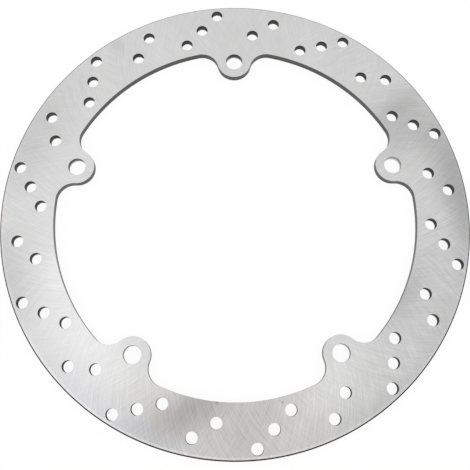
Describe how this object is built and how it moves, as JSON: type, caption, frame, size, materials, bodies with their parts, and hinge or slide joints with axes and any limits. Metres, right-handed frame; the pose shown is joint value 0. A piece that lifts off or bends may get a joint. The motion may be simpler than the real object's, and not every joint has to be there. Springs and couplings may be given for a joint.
{
  "type": "brake disc rotor",
  "caption": "Flat ground-steel ring for a motorcycle's front brake, with inward ears for hub bolts and slanted rows of vent holes through its friction band.",
  "frame": {"origin": "the disc's centre on its rear face, which seats on the wheel hub", "axes": "+Z along the wheel's axle, out of the front face; +Y from the centre through one mounting ear; +X completes the right-handed frame"},
  "size_m": [0.32, 0.32, 0.0055],
  "materials": {
    "ground_steel": "stainless steel, rotary ground to a satin swirl, with dark cut walls and rim chamfers"
  },
  "bodies": {
    "root": {"brake_disc": "ground_steel"}
  },
  "joints": []
}
